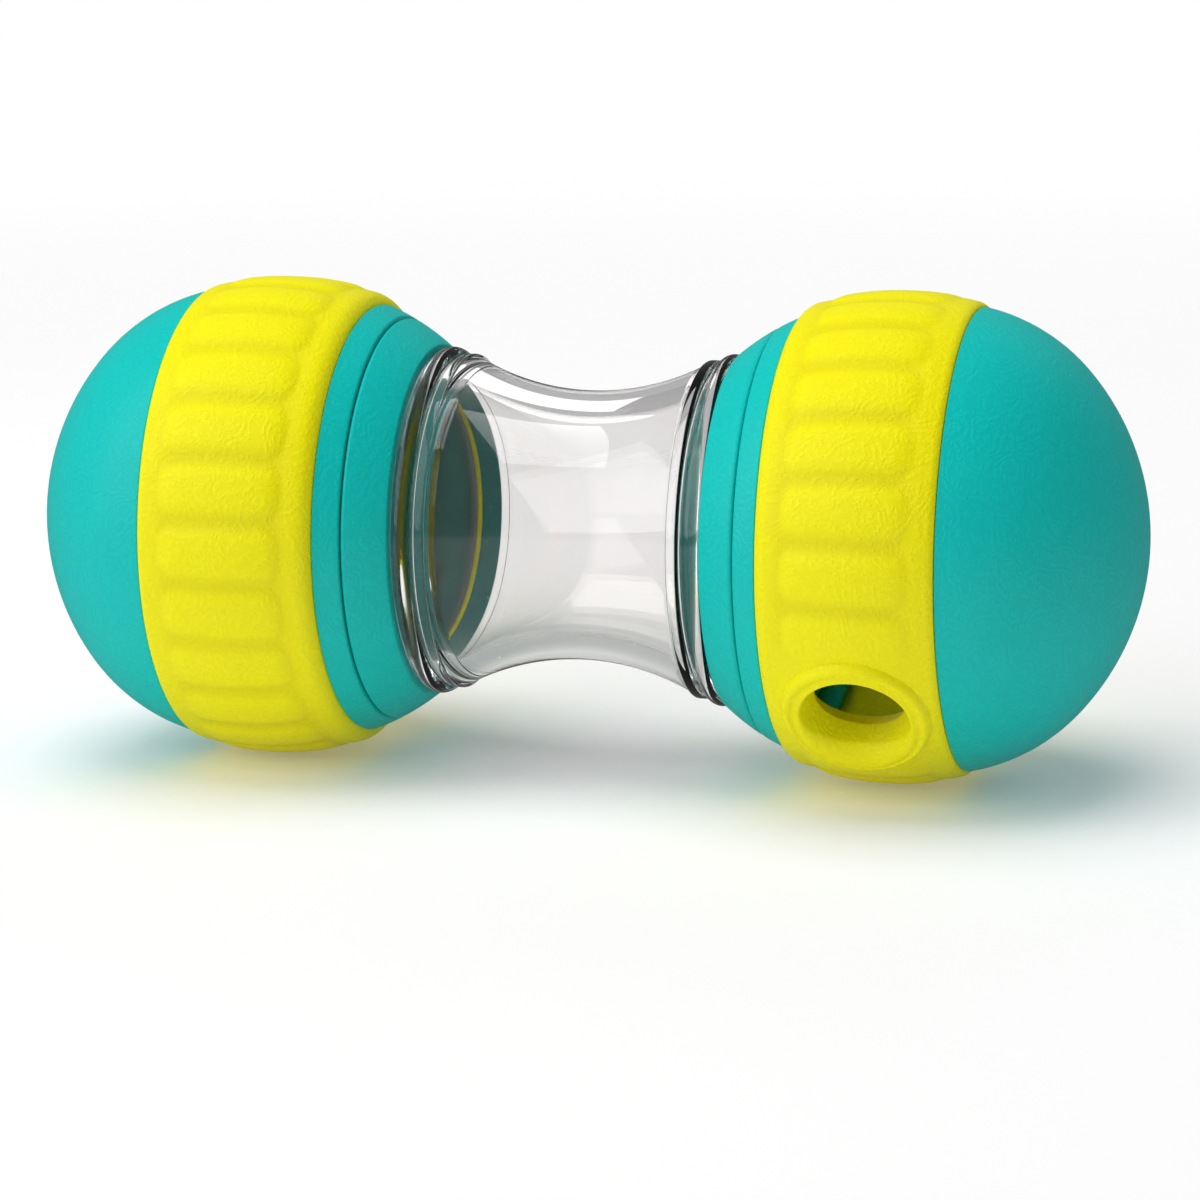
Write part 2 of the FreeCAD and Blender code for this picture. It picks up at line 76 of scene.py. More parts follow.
TUBE = mm(waist_r=22.2, wall=4.3, flare_r=27.2, rim_x=20.0, rim_r=27.7, rim_width=1.9,
          groove_width=0.7, groove_r=27.0, bead_r=28.8, bead_width=2.9, spigot_r=24.8,
          bore_r=22.6, spigot_length=11.6)
BEAD_START = TUBE["rim_x"] + TUBE["rim_width"] + TUBE["groove_width"]
BEAD_FACE = BEAD_START + TUBE["bead_width"]
SPIGOT_END = BEAD_FACE + TUBE["spigot_length"]
print(f"axis {AXIS_Z / MM:.2f} mm above the floor, treads from x {RING_START / MM:.2f}"
      f" to {RING_END / MM:.2f} mm, spigot ends at x {SPIGOT_END / MM:.2f} mm")

# %% [markdown]
# Most pieces are turned parts, so a closed outline in (x, r) is swept round the axis. Corners
# of a moulded part are never sharp, and the thin bright line along a rounded one is what makes
# a seam readable. A Bevel modifier could round them all by one width, but each corner here has
# its own radius, so a helper replaces a corner of the outline by a short arc.

# %% Outline helpers
def arc_between(start, stop, radius, steps, side=1):
    """Points from start to stop on an arc that bulges to the left (+1) or right (-1)."""
    start, stop = np.array(start, float), np.array(stop, float)
    chord = stop - start
    length = np.hypot(*chord)
    left = np.array([-chord[1], chord[0]]) / length
    centre = (start + stop) / 2 - left * side * math.sqrt(radius ** 2 - (length / 2) ** 2)
    first = math.atan2(*(start - centre)[::-1])
    last = math.atan2(*(stop - centre)[::-1])
    turn = (last - first + math.pi) % (2 * math.pi) - math.pi
    angles = first + turn * np.linspace(0, 1, steps + 1)
    return [tuple(centre + radius * np.array([math.cos(a), math.sin(a)])) for a in angles]


def rounded(outline, radii, steps=4):
    """The closed outline with some corners cut by arcs: radii gives millimetres by index."""
    count = len(outline)
    radii = {index % count: radius * MM for index, radius in radii.items()}
    result = []
    for index, corner in enumerate(outline):
        if index not in radii:
            result.append(corner)
            continue
        here = np.array(corner, float)
        before = np.array(outline[index - 1], float) - here
        after = np.array(outline[(index + 1) % count], float) - here
        before, after = before / np.hypot(*before), after / np.hypot(*after)
        opening = math.acos(np.clip(np.dot(before, after), -1, 1))
        reach = radii[index] / math.tan(opening / 2)
        side = 1 if before[0] * after[1] - before[1] * after[0] > 0 else -1
        result += arc_between(here + before * reach, here + after * reach, radii[index], steps,
                              side)
    return result


print("points on a rounded corner:", len(rounded([(0, 0), (1, 0), (1, 1)], {1: 500})) - 2)


# %% Placing and meshing helpers
SIDES = ("right", "left")


def placed(points, side, turn=0.0):
    """Points given for the +X end, turned about the axis, taken to their end and lifted."""
    x, y, z = np.asarray(points, float).T
    cos_t, sin_t = math.cos(turn), math.sin(turn)
    y, z = y * cos_t - z * sin_t, y * sin_t + z * cos_t
    if side == "left":
        x, y = -x, -y
    return np.column_stack([x, y, z + AXIS_Z])


def linked(name, data):
    """A new object with that data, in the scene."""
    thing = bpy.data.objects.new(name, data)
    bpy.context.scene.collection.objects.link(thing)
    return thing


def mesh_object(name, points, faces, smooth_angle=40):
    """A mesh object at the origin with smooth shading that keeps real corners."""
    mesh = bpy.data.meshes.new(name)
    mesh.from_pydata([tuple(point) for point in points], [], faces)
    work = bmesh.new()
    work.from_mesh(mesh)
    bmesh.ops.delete(work, geom=[v for v in work.verts if not v.link_faces], context="VERTS")
    if work.calc_volume(signed=True) < 0:
        bmesh.ops.reverse_faces(work, faces=work.faces)
    loose = sum(len(edge.link_faces) != 2 for edge in work.edges)
    work.to_mesh(mesh)
    work.free()
    if loose:
        raise ValueError(f"{name} has {loose} open edges")
    mesh.polygons.foreach_set("use_smooth", [True] * len(mesh.polygons))
    mesh.set_sharp_from_angle(angle=math.radians(smooth_angle))
    return linked(name, mesh)


def turned(name, outline, side, segments=256):
    """A closed outline in (x, r) swept round the axis. A point with r = 0 is a pole."""
    rings, points, faces = [], [], []
    angles = np.linspace(0, 2 * math.pi, segments, endpoint=False)
    for x, r in outline:
        if r < 1e-7:
            rings.append([len(points)] * segments)
            points.append((x, 0, 0))
            continue
        rings.append(list(range(len(points), len(points) + segments)))
        points += [(x, r * math.sin(a), -r * math.cos(a)) for a in angles]
    for low, high in zip(rings, rings[1:] + rings[:1]):
        for j in range(segments):
            k = (j + 1) % segments
            face = [low[j], low[k], high[k], high[j]]
            face = [v for n, v in enumerate(face) if v not in face[:n]]
            if len(face) > 2:
                faces.append(face)
    return mesh_object(name, placed(points, side), faces)


print("middle of the left bead's face:", placed([(BEAD_FACE, 0, 0)], "left")[0])


# %% [markdown]
# Node trees, for materials and for geometry, read better as arithmetic than as a list of
# nodes and links. A Wire holds one output socket and turns Python operators into Math nodes.
# A Bench adds every other node: its settings go in first, then its inputs.

# %% Node arithmetic
class Wire:
    """One output socket, on which Python arithmetic adds Math nodes."""

    def __init__(self, bench, socket):
        self.bench, self.socket = bench, socket

    def math(self, operation, *others):
        return self.bench.math(operation, self, *others)

    def __add__(self, other):
        return self.bench.math("ADD", self, other)

    def __radd__(self, other):
        return self.bench.math("ADD", other, self)

    def __sub__(self, other):
        return self.bench.math("SUBTRACT", self, other)

    def __rsub__(self, other):
        return self.bench.math("SUBTRACT", other, self)

    def __mul__(self, other):
        return self.bench.math("MULTIPLY", self, other)

    def __rmul__(self, other):
        return self.bench.math("MULTIPLY", other, self)

    def __truediv__(self, other):
        return self.bench.math("DIVIDE", self, other)

    def __rtruediv__(self, other):
        return self.bench.math("DIVIDE", other, self)

    def __pow__(self, other):
        return self.bench.math("POWER", self, other)

    def __rpow__(self, other):
        return self.bench.math("POWER", other, self)

    def between(self, low, high):
        """0 below low, 1 above high, smooth in between."""
        return self.bench.node("ShaderNodeMapRange", {"interpolation_type": "SMOOTHSTEP"},
                               {"Value": self, "From Min": low, "From Max": high})


class Bench:
    """Adds nodes to one tree."""

    def __init__(self, tree):
        self.tree = tree

    def fill(self, made, inputs):
        """Gives a node's inputs their values or wires."""
        for key, value in inputs.items():
            if isinstance(value, Wire):
                self.tree.links.new(value.socket, made.inputs[key])
            else:
                made.inputs[key].default_value = value

    def node(self, kind, settings=None, inputs=None, out=0):
        """Adds a node and gives the wire from one of its outputs, if it has any."""
        made = self.tree.nodes.new(kind)
        for key, value in (settings or {}).items():
            setattr(made, key, value)
        self.fill(made, inputs or {})
        return Wire(self, made.outputs[out]) if made.outputs else None

    def math(self, operation, *values):
        return self.node("ShaderNodeMath", {"operation": operation}, dict(enumerate(values)))

    def split(self, vector):
        """The X, Y and Z of a vector."""
        first = self.node("ShaderNodeSeparateXYZ", {}, {0: vector})
        return [Wire(self, socket) for socket in first.socket.node.outputs]

    def noise(self, place, scale, detail, roughness=0.5):
        """Cloudy noise from 0 to 1, with features about 1 / scale metres wide."""
        return self.node("ShaderNodeTexNoise", {}, {"Vector": place, "Scale": scale,
                                                    "Detail": detail, "Roughness": roughness},
                         out="Fac")

    def bump(self, height, distance, strength=1.0):
        return self.node("ShaderNodeBump", {}, {"Height": height, "Strength": strength,
                                                "Distance": distance}, out="Normal")

    def mix_colour(self, factor, first, second):
        """Sockets 6 and 7 are the colours A and B of a Mix node, and output 2 the result."""
        return self.node("ShaderNodeMix", {"data_type": "RGBA"},
                         {0: factor, 6: first, 7: second}, out=2)


def new_material(name):
    """A material, its bench, its shader, and the wire that gives the place on the piece."""
    material = bpy.data.materials.new(name)
    material.use_nodes = True
    bench = Bench(material.node_tree)
    shader = material.node_tree.nodes["Principled BSDF"]
    return material, bench, shader, bench.node("ShaderNodeTexCoord", out="Object")


print("operators on a wire:", [name for name in vars(Wire) if name.startswith("__r")])

# %% [markdown]
# The moulded parts share one kind of surface: a satin skin with a very fine leathery grain,
# like a fingerprint, with ridges about half a millimetre apart. Modelled ridges would need
# millions of faces, so a bump gives them. The sine of a broad noise draws its contour lines,
# which is a quick way to such whorls, and a finer noise breaks them up. Colour and roughness
# follow the grain a little, so highlights sparkle slightly. The soft rubber's colour is also
# painted a little deeper in the valleys of the tread, as painted shade.

# %% Moulded material
def moulded(name, colour, deep_colour, roughness, grain_depth, grain_pitch, coat=0.0,
            valley_shade_colour=None):
    """A satin moulded material. Depths and pitches are in metres."""
    material, bench, shader, place = new_material(name)
    # A swirl is some 13 pitches wide, and its 68 radians of sine are the lines across it.
    swirl = bench.noise(place, 0.075 / grain_pitch, 1.0, 0.4)
    lines = (swirl * 68.0).math("SINE") * 0.5 + 0.5
    broken = bench.noise(place, 0.9 / grain_pitch, 2.0, 0.6)
    grain = lines * broken.between(0.32, 0.62) * 0.55 + broken * 0.45
    broad, scuff = bench.noise(place, 38.0, 3.0), bench.noise(place, 240.0, 5.0, 0.7)
    tint = bench.mix_colour(grain.between(0.15, 0.55), deep_colour, colour)
    # Painted shade: where the tread lies deep, the colour is mixed toward a darker valley yellow.
    if valley_shade_colour:
        hollow = bench.node("ShaderNodeAttribute", {"attribute_name": "hollow"}, out="Fac")
        tint = bench.mix_colour(hollow * 0.55, tint, valley_shade_colour)
    faded = tuple(min(1.0, part * 1.10 + 0.01) for part in colour[:3]) + (1.0,)
    wash = bench.mix_colour((broad - 0.5).between(-0.25, 0.25) * 0.16, tint, faded)
    gloss = roughness + (grain - 0.5) * -0.10 + (scuff - 0.5) * 0.10
    bench.fill(shader, {"Base Color": wash, "Roughness": gloss,
                        "Normal": bench.bump(grain, grain_depth), "IOR": 1.48,
                        "Specular IOR Level": 0.24, "Coat Weight": coat,
                        "Coat Roughness": 0.25})
    return material


TEAL = moulded("teal_satin_plastic", (0.001, 0.575, 0.535, 1), (0.001, 0.535, 0.495, 1),
               0.38, 0.075 * MM, 0.48 * MM, coat=0.05)
# Painted shade: a darker copy of the teal for the mouth funnel, where little light reaches.
SHADED_TEAL = moulded("teal_with_painted_shade", (0.003, 0.200, 0.180, 1), (0.003, 0.170, 0.150, 1),
                    0.40, 0.020 * MM, 0.60 * MM)
# The rubber's valley colour is painted shade: a darker yellow in the tread's valleys.
YELLOW_RUBBER = moulded("yellow_soft_rubber", (0.960, 0.890, 0.001, 1), (0.920, 0.840, 0.001, 1),
                        0.41, 0.100 * MM, 0.50 * MM, valley_shade_colour=(0.760, 0.660, 0.001, 1))
YELLOW_PLASTIC = moulded("yellow_core_plastic", (0.900, 0.820, 0.002, 1),
                         (0.840, 0.740, 0.002, 1), 0.38, 0.012 * MM, 0.6 * MM)
SILICONE = moulded("pale_silicone", (0.62, 0.66, 0.66, 1), (0.54, 0.58, 0.58, 1),
                   0.5, 0.010 * MM, 0.5 * MM)
print("moulded materials:", [material.name for material in
                             (TEAL, SHADED_TEAL, YELLOW_RUBBER, YELLOW_PLASTIC, SILICONE)])

# %% [markdown]
# The tube is injection-moulded clear plastic. A plain glass shader would look too perfect:
# the wall of such parts ripples slightly over centimetres, which bends reflections, and
# handling leaves faint haze and dust. So the clear shader gets a broad, very shallow bump and
# a roughness that rises a little in patches and specks. The two spigots inside the collars
# are satin, as a mould leaves a joint that isn't meant to be seen.

# %% Clear material
def clear_plastic():
    material, bench, shader, place = new_material("clear_polished_plastic")
    ripple, haze = bench.noise(place, 55.0, 1.0), bench.noise(place, 120.0, 4.0, 0.65)
    specks = bench.node("ShaderNodeTexVoronoi", {"feature": "F1"},
                        {"Vector": place, "Scale": 420.0, "Randomness": 1.0}, out="Distance")
    dust = 1 - specks.between(0.03, 0.07)
    along = bench.split(place)[0].math("ABSOLUTE")
    satin = along.between(BEAD_FACE, BEAD_FACE + 1.0 * MM)
    rough = 0.015 + haze.between(0.52, 0.8) * 0.05 + dust * 0.25 + satin * 0.35
    tone = bench.mix_colour(haze.between(0.3, 0.7), (0.925, 0.912, 0.910, 1),
                            (0.905, 0.890, 0.888, 1))
    bench.fill(shader, {"Base Color": tone, "Roughness": rough, "IOR": 1.49,
                        "Normal": bench.bump(ripple, 0.07 * MM, 0.5),
                        "Transmission Weight": 1.0})
    return material


CLEAR = clear_plastic()
print("clear material:", CLEAR.name)

# %% [markdown]
# The clear tube is a waisted pipe. A Solidify modifier would give it one wall thickness, but
# clear plastic bends light by its real wall, which is over 4 mm at the waist and half of that
# at the spigots. So it is one closed outline: bore, spigot, large rounded bead, groove, small
# rim, and the long concave waist, written for one half and mirrored to keep both ends alike.

# %% Clear tube
def waist_arc(middle_r, end_r, steps=40):
    """The concave curve from the tube's middle to where the small rim begins."""
    rise, reach = end_r - middle_r, TUBE["rim_x"]
    curve = (reach ** 2 + rise ** 2) / (2 * rise)
    return [(x, middle_r + curve - math.sqrt(curve ** 2 - x ** 2))
            for x in np.linspace(0, reach, steps + 1)]


def tube_half():
    """Outline of the +X half, from the outside of the middle round to the bore's middle."""
    rim_end = TUBE["rim_x"] + TUBE["rim_width"]
    half = TUBE["bead_width"] / 2
    outside = waist_arc(TUBE["waist_r"], TUBE["flare_r"])
    rims = [(TUBE["rim_x"], TUBE["rim_r"]), (rim_end, TUBE["rim_r"]),
            (rim_end, TUBE["groove_r"]), (BEAD_START, TUBE["groove_r"])]
    bead = arc_between((BEAD_START, TUBE["bead_r"] - half), (BEAD_FACE, TUBE["bead_r"] - half),
                       half * 1.0001, 20)
    spigot = [(BEAD_FACE, TUBE["spigot_r"]), (SPIGOT_END, TUBE["spigot_r"]),
              (SPIGOT_END, TUBE["bore_r"])]
    bore = waist_arc(TUBE["waist_r"] - TUBE["wall"], TUBE["bore_r"])[::-1]
    rim, tip = len(outside), len(outside) + len(rims) + len(bead)
    radii = {rim: 0.3, rim + 1: 0.68, rim + 2: 0.3, rim + 3: 0.3,
             tip: 0.4, tip + 1: 0.5, tip + 2: 0.4}
    return rounded(outside + rims + bead + spigot + bore, radii)


def clear_tube():
    """The half outline and its mirror image, which share two points, turned."""
    half = tube_half()
    whole = half + [(-x, r) for x, r in half[-2:0:-1]]
    tube = turned("tube_clear_body", whole, "right", segments=288)
    tube.data.materials.append(CLEAR)
    return tube


tube = clear_tube()
print(tube.name, len(tube.data.polygons), "faces")

# %% [markdown]
# Three short helical lugs stand on each spigot and three more inside each collar, and turning
# the ball draws it onto the tube. Six lugs modelled one by one could get out of step, so one
# is swept, and a geometry node tree turns copies of it round the axis: its inputs are
# the number of lugs and the height of the axis.

# %% Geometry tree helpers
def geometry_tree(name, count_name, length_names):
    """A geometry node tree: itself, its bench, and a wire from each of its named inputs."""
    tree = bpy.data.node_groups.new(name, "GeometryNodeTree")
    kinds = {"Geometry": "Geometry", count_name: "Int",
             **{length: "Float" for length in length_names}, "Material": "Material"}
    for label, kind in kinds.items():
        tree.interface.new_socket(label, in_out="INPUT", socket_type=f"NodeSocket{kind}")
    tree.interface.new_socket("Geometry", in_out="OUTPUT", socket_type="NodeSocketGeometry")
    bench = Bench(tree)
    outputs = bench.node("NodeGroupInput").socket.node.outputs
    return tree, bench, {label: Wire(bench, outputs[label]) for label in kinds}


def close_tree(bench, geometry, material):
    """Ends a tree: its instances become real geometry, with the material on it."""
    real = bench.node("GeometryNodeRealizeInstances", {}, {"Geometry": geometry})
    done = bench.node("GeometryNodeSetMaterial", {}, {"Geometry": real, "Material": material})
    bench.node("NodeGroupOutput", {}, {"Geometry": done})


def run_tree(thing, tree, values):
    """Runs a geometry node tree on an object and keeps the result as a plain mesh."""
    modifier = thing.modifiers.new(tree.name, "NODES")
    modifier.node_group = tree
    for item in tree.interface.items_tree:
        if item.in_out == "INPUT" and item.name in values:
            modifier[item.identifier] = values[item.name]
    thing.update_tag()
    bpy.context.view_layer.update()
    graph = bpy.context.evaluated_depsgraph_get()
    mesh = bpy.data.meshes.new_from_object(thing.evaluated_get(graph))
    thing.modifiers.remove(modifier)
    thing.data = mesh


# %% Lugs repeated round the axis
LUG = mm(height=1.5, width=2.1, lean=0.25, root=0.1, lead=15.0, offset=7.2)
LUG_ARC, LUG_STARTS = math.radians(70), 3
LUG_X = BEAD_FACE + LUG["offset"]
COLLAR = mm(length=6.4, bore_r=26.7, wall=2.4, sleeve_r=28.9, sleeve_length=5.2,
            lug_root=0.2, lug_gap=0.4)


def round_axis_tree():
    tree, bench, given = geometry_tree("repeat_round_axis", "Count", ["Axis height"])
    line = bench.node("GeometryNodeMeshLine", {}, {"Count": given["Count"], "Offset": (0, 0, 0)})
    centre = bench.node("ShaderNodeCombineXYZ", {}, {"Z": given["Axis height"]})
    spots = bench.node("GeometryNodeSetPosition", {}, {"Geometry": line, "Position": centre})
    away = bench.node("ShaderNodeVectorMath", {"operation": "SCALE"}, {0: centre, "Scale": -1.0})
    lug = bench.node("GeometryNodeTransform", {},
                     {"Geometry": given["Geometry"], "Translation": away})
    index = bench.node("GeometryNodeInputIndex")
    turn = bench.node("ShaderNodeCombineXYZ", {}, {"X": index * (2 * math.pi) / given["Count"]})
    copies = bench.node("GeometryNodeInstanceOnPoints", {},
                        {"Points": spots, "Instance": lug, "Rotation": turn})
    close_tree(bench, copies, given["Material"])
    return tree


def lug_ridge(name, side, start, root, crest, steps=28):
    """One helical ridge from radius root to radius crest, with slanted flanks, blunt ends."""
    half, lean = LUG["width"] / 2, math.copysign(LUG["lean"], crest - root)
    section = [(-half - lean, root), (-half + lean, crest), (half - lean, crest),
               (half + lean, root)]
    points, faces = [], []
    for step in range(steps + 1):
        angle = step / steps * LUG_ARC
        shift = start + LUG["lead"] * angle / (2 * math.pi)
        points += [(shift + x, -r * math.sin(angle), r * math.cos(angle)) for x, r in section]
    for step in range(steps):
        a, b = 4 * step, 4 * (step + 1)
        for n in range(4):
            k = (n + 1) % 4
            faces.append([a + n, a + k, b + k, b + n])
    faces += [[3, 2, 1, 0], [4 * steps, 4 * steps + 1, 4 * steps + 2, 4 * steps + 3]]
    return mesh_object(name, placed(points, side), faces, 30)


ROUND_AXIS = round_axis_tree()
for side in SIDES:
    on_spigot = lug_ridge(f"{side}_spigot_lugs", side, LUG_X, TUBE["spigot_r"] - LUG["root"],
                          TUBE["spigot_r"] + LUG["height"])
    in_collar = lug_ridge(f"{side}_collar_lugs", side, LUG_X - LUG["lead"] / LUG_STARTS / 2,
                          COLLAR["bore_r"] + COLLAR["lug_root"],
                          TUBE["spigot_r"] + COLLAR["lug_gap"])
    for ridge, finish in ((on_spigot, CLEAR), (in_collar, TEAL)):
        run_tree(ridge, ROUND_AXIS, {"Count": LUG_STARTS, "Axis height": AXIS_Z,
                                     "Material": finish})
        print(ridge.name, len(ridge.data.polygons), "faces")

# %% [markdown]
# The teal pieces of a ball are a collar, a narrow shell and a dome. They could be cut out of
# one sphere with booleans, but a seam reads only by its edges, so each is turned on its own.
# The seam is a gap of a fifth of a millimetre between two rounded edges: the gap looks like a
# dark line, and the rounded edges catch a thin highlight beside it.

# %% Collar and shell
COLLAR_FACE = BEAD_FACE + 0.25 * MM
COLLAR_END = COLLAR_FACE + COLLAR["length"]
SHELL = mm(web=2.4, bore_r=29.0, inside_r=29.9, tongue_r=31.9, tongue_length=4.6)
SHELL_FACE = COLLAR_END + 0.2 * MM
EDGE_ROOM = 0.6 * MM
BALL_R = math.hypot(COLLAR["bore_r"] + COLLAR["wall"], RING_CENTRE - COLLAR_FACE)


def ball_skin(start, stop, steps):
    """Points on the ball's spherical surface on the collar side."""
    return [(x, math.sqrt(BALL_R ** 2 - (x - RING_CENTRE) ** 2))
            for x in np.linspace(start, stop, steps)]


def collar(side):
    face, end = COLLAR_FACE, COLLAR_END
    sleeve_end = end + COLLAR["sleeve_length"]
    outline = ([(face, COLLAR["bore_r"])] + ball_skin(face, face, 1)
               + ball_skin(face + EDGE_ROOM, end - EDGE_ROOM, 24) + ball_skin(end, end, 1)
               + [(end, COLLAR["sleeve_r"]), (sleeve_end, COLLAR["sleeve_r"]),
                  (sleeve_end, COLLAR["bore_r"])])
    return turned(f"{side}_collar_skin",
                  rounded(outline, {0: 0.3, 1: 0.4, -4: 0.45, -2: 0.5, -1: 0.5}), side)


def shell(side):
    face, rim = SHELL_FACE, RING_START - FIT_GAP
    web, tongue = face + SHELL["web"], rim + SHELL["tongue_length"]
    outline = ([(face, SHELL["bore_r"])] + ball_skin(face, face, 1)
               + ball_skin(face + EDGE_ROOM, rim - 0.2 * MM, 16) + ball_skin(rim, rim, 1)
               + [(rim, SHELL["tongue_r"]), (tongue, SHELL["tongue_r"]),
                  (tongue, SHELL["inside_r"]), (web, SHELL["inside_r"]), (web, SHELL["bore_r"])])
    return turned(f"{side}_shell_skin",
                  rounded(outline, {1: 0.45, -6: 0.15, -4: 0.4, -3: 0.4}), side)


print(f"the collar side of a ball has a radius of {BALL_R / MM:.2f} mm")

# %% [markdown]
# The dome isn't quite half a sphere: its nose is flatter than its shoulder. A scaled sphere
# would be an ellipse, whose highlights lie elsewhere, so two arcs that share a tangent make
# its profile. The seal is a square ring of silicone with soft edges.

# %% Dome and seal
CORE = mm(bore_r=32.0, outer_r=34.3, chamfer=0.25, edge=0.1, window=10.0)
CORE_END = RING_END + 4.5 * MM
DOME = mm(r=38.1, depth=33.75, shoulder_r=31.0, wall=2.6, edge_room=0.25)
DOME_X = RING_END - 6.2 * MM
SEAL = mm(gap=0.3, width=1.4)


def dome(side):
    seat, shelf = RING_END + FIT_GAP, CORE_END + FIT_GAP
    mouth = CORE["outer_r"] + FIT_GAP
    depth, shoulder = DOME["depth"], DOME["shoulder_r"]
    offset = DOME["r"] - shoulder
    nose = (depth ** 2 + offset ** 2 - shoulder ** 2) / (2 * (depth - shoulder))
    nose_x = DOME_X + depth - nose

    def curve(inset, start_x, steps):
        """Shoulder arc from start_x to the join, then the nose arc to the pole."""
        big, small = nose - inset, shoulder - inset
        lean = math.atan2(offset, DOME_X - nose_x)
        first = math.acos((start_x - DOME_X) / small)
        arc = [(DOME_X + small * math.cos(a), offset + small * math.sin(a))
               for a in np.linspace(first, lean, steps)]
        cap = [(nose_x + big * math.cos(a), big * math.sin(a))
               for a in np.linspace(lean, 0, steps + 10)[1:-1]]
        return arc + cap + [(nose_x + big, 0.0)]

    outside = curve(0.0, seat + DOME["edge_room"], 40)
    inside = curve(DOME["wall"], shelf, 24)
    rim_r = offset + math.sqrt(shoulder ** 2 - (seat - DOME_X) ** 2)
    outline = [(seat, mouth), (seat, rim_r)] + outside + inside[::-1] + [(shelf, mouth)]
    return turned(f"{side}_dome_skin", rounded(outline, {1: 0.2}), side)


def box_outline(start, stop, low, high):
    return [(start, low), (start, high), (stop, high), (stop, low)]


def seal(side):
    start = BEAD_FACE + SEAL["gap"]
    outline = box_outline(start, start + SEAL["width"], TUBE["spigot_r"] + SEAL["gap"],
                          COLLAR["bore_r"] - SEAL["gap"])
    return turned(f"{side}_seal_ring", rounded(outline, dict.fromkeys(range(4), 0.3)), side)


# %% [markdown]
# Through the clear wall at each end of the tube a dark teal funnel shows, which narrows the way
# into the ball, and it ends in a thin yellow edge. How they are fixed can't be seen, so both
# are thin turned rings inside the tube that ride on it. The funnel's teal is painted darker
# than the collar's, as painted shade, because little light reaches it.

# %% Mouth of the tube
MOUTH = mm(start=21.2, face=24.1, end=25.3, start_r=22.3, opening_r=20.3, step_r=21.85,
           outer_r=22.45, edge_start=24.15, edge_end=25.1, edge_r=21.8)


def mouth_funnel(side):
    outline = [(MOUTH["start"], MOUTH["start_r"]), (MOUTH["face"], MOUTH["opening_r"]),
               (MOUTH["face"], MOUTH["step_r"]), (MOUTH["end"], MOUTH["step_r"]),
               (MOUTH["end"], MOUTH["outer_r"]), (MOUTH["start"], MOUTH["outer_r"])]
    return turned(f"{side}_mouth_funnel", outline, side)


def mouth_edge(side):
    outline = box_outline(MOUTH["edge_start"], MOUTH["edge_end"], MOUTH["opening_r"],
                          MOUTH["edge_r"])
    return turned(f"{side}_mouth_edge", rounded(outline, {0: 0.2, 3: 0.3}), side)


for side in SIDES:
    for make, finish in ((collar, TEAL), (shell, TEAL), (dome, TEAL), (seal, SILICONE),
                         (mouth_funnel, SHADED_TEAL), (mouth_edge, YELLOW_PLASTIC)):
        piece = make(side)
        piece.data.materials.append(finish)
        print(piece.name, len(piece.data.polygons), "faces")

# %% [markdown]
# The yellow pieces are rings with a round hole through their side. A hole in a ring is the
# place where a boolean would leave long thin faces and bad shading. Instead the ring's grid
# is left open over a window, on the outside and in the bore, and each window is filled with
# loops that change from the window's outline to a circle. The loops then run down the hole.

# %% Rings with a hole
OUTLET_X = RING_CENTRE + 0.8 * MM
OUTLET_TURN = -3.5 * RIB_PITCH


def pierced_ring(outline, outside, bore, angles, half_window, stations):
    """Points and faces of a ring with a hole at angle 0.

    outline: closed (x, r) points. outside and bore: the rows (first, last) of the windows.
    stations: functions of the outer border, the inner border and the directions from the
    hole's middle, each of which gives one loop between the outside and the bore.
    """
    rows, columns = len(outline), len(angles)
    first, last = np.searchsorted(angles, -half_window), np.searchsorted(angles, half_window)
    across, radius = np.array(outline).T
    grid = np.stack(np.broadcast_arrays(across[None, :], radius[None, :] * np.sin(angles)[:, None],
                                        -radius[None, :] * np.cos(angles)[:, None]), axis=-1)
    points = [tuple(point) for point in grid.reshape(-1, 3)]
    faces = []
    for i in range(columns):
        in_window = first <= i < last
        for j in range(rows):
            if in_window and (outside[0] <= j < outside[1] or bore[0] <= j < bore[1]):
                continue
            k, m = (i + 1) % columns, (j + 1) % rows
            faces.append([i * rows + j, k * rows + j, k * rows + m, i * rows + m])

    def border(low_row, high_row):
        """Point numbers round a window, starting along one edge of the ring."""
        step = 1 if high_row > low_row else -1
        sides = ([(i, low_row) for i in range(first, last)]
                 + [(last, j) for j in range(low_row, high_row, step)]
                 + [(i, high_row) for i in range(last, first, -1)]
                 + [(first, j) for j in range(high_row, low_row, -step)])
        return [i * rows + j for i, j in sides]

    outer, inner = border(*outside), border(bore[1], bore[0])
    plan, inner_plan = [np.array([points[n][:2] for n in numbers]) - (OUTLET_X, 0)
                        for numbers in (outer, inner)]
    direction = plan / np.linalg.norm(plan, axis=1)[:, None]
    loops = [outer]
    for station in stations:
        start = len(points)
        points += [tuple(point) for point in station(plan, inner_plan, direction)]
        loops.append(list(range(start, start + len(outer))))
    loops.append(inner)
    for low, high in zip(loops, loops[1:]):
        for n in range(len(outer)):
            k = (n + 1) % len(outer)
            faces.append([low[n], high[n], high[k], low[k]])
    return np.array(points), faces


# %% Loops round a hole
def raised(plan, height):
    """Points at plan places, at a distance height below the toy's axis."""
    return np.column_stack([plan[:, 0] + OUTLET_X, plan[:, 1], -np.asarray(height)])


def height_on(radius, plan):
    """Distance below the axis of a turned surface, whose radius may be a function of x."""
    if callable(radius):
        radius = radius(plan[:, 0] + OUTLET_X)
    return np.sqrt(radius ** 2 - plan[:, 1] ** 2)


def on_surface(radius, circle_r, share, from_bore=False):
    """A loop on a surface, between a window's border (0) and a circle round the hole (1)."""
    def station(plan, inner_plan, direction):
        start = inner_plan if from_bore else plan
        spots = start * (1 - share) + direction * circle_r * share
        return raised(spots, height_on(radius, spots))
    return station


print(f"the outlets lie at x {OUTLET_X / MM:.2f} mm, {math.degrees(OUTLET_TURN):.1f} degrees round")

